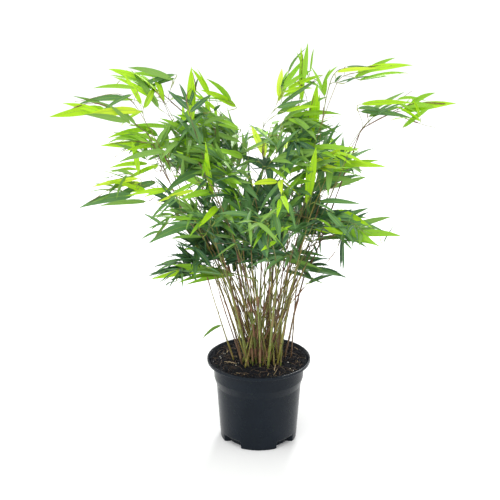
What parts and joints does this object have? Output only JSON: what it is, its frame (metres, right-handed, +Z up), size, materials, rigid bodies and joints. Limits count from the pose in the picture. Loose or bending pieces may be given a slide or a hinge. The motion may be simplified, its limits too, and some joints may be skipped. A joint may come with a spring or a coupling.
{
  "type": "potted bamboo",
  "caption": "Clump of slender leafy canes that fan out like a vase into two crown lobes, rooted in a round tapered plastic nursery pot with a flared lip and dents round its foot.",
  "frame": {"origin": "on the pot's axis, on the flat underside of the pot that the plant stands on", "axes": "+Z up along the pot's axis, +X to the plant's right seen from the front, +Y to its back, so that the front is -Y"},
  "size_m": [0.7149, 0.5505, 0.7253],
  "materials": {
    "pot": "satin anthracite moulded plastic",
    "soil": "dark moist potting compost with root fibres",
    "cane": "smooth olive-green canes with dark nodes and tan sheaths",
    "foliage": "satin green leaves"
  },
  "bodies": {
    "root": {"bough_left_long": "cane", "bough_right_lower": "cane", "bough_right_upper": "cane", "cane_01": "cane", "cane_02": "cane", "cane_03": "cane", "cane_04": "cane", "cane_05": "cane", "cane_06": "cane", "cane_07": "cane", "cane_08": "cane", "cane_09": "cane", "cane_10": "cane", "cane_11": "cane", "cane_12": "cane", "cane_13": "cane", "cane_14": "cane", "cane_15": "cane", "cane_16": "cane", "cane_17": "cane", "cane_18": "cane", "cane_19": "cane", "cane_20": "cane", "cane_21": "cane", "cane_22": "cane", "cane_23": "cane", "cane_24": "cane", "foliage_back_heart": "foliage", "foliage_back_left_reach": "foliage", "foliage_back_left_upper": "foliage", "foliage_back_reach": "foliage", "foliage_back_right_reach": "foliage", "foliage_back_right_upper": "foliage", "foliage_centre_low": "foliage", "foliage_centre_top": "foliage", "foliage_front_heart": "foliage", "foliage_front_left_reach": "foliage", "foliage_front_left_upper": "foliage", "foliage_front_reach": "foliage", "foliage_front_right_reach": "foliage", "foliage_front_right_upper": "foliage", "foliage_left_arch": "foliage", "foliage_left_crest": "foliage", "foliage_left_heart": "foliage", "foliage_left_reach": "foliage", "foliage_left_shoulder": "foliage", "foliage_left_skirt": "foliage", "foliage_left_tip": "foliage", "foliage_left_upper": "foliage", "foliage_right_arch": "foliage", "foliage_right_crest": "foliage", "foliage_right_heart": "foliage", "foliage_right_low_reach": "foliage", "foliage_right_shoulder": "foliage", "foliage_right_skirt": "foliage", "foliage_right_tip": "foliage", "foliage_right_upper": "foliage", "pot": "pot", "soil": "soil"}
  },
  "joints": []
}
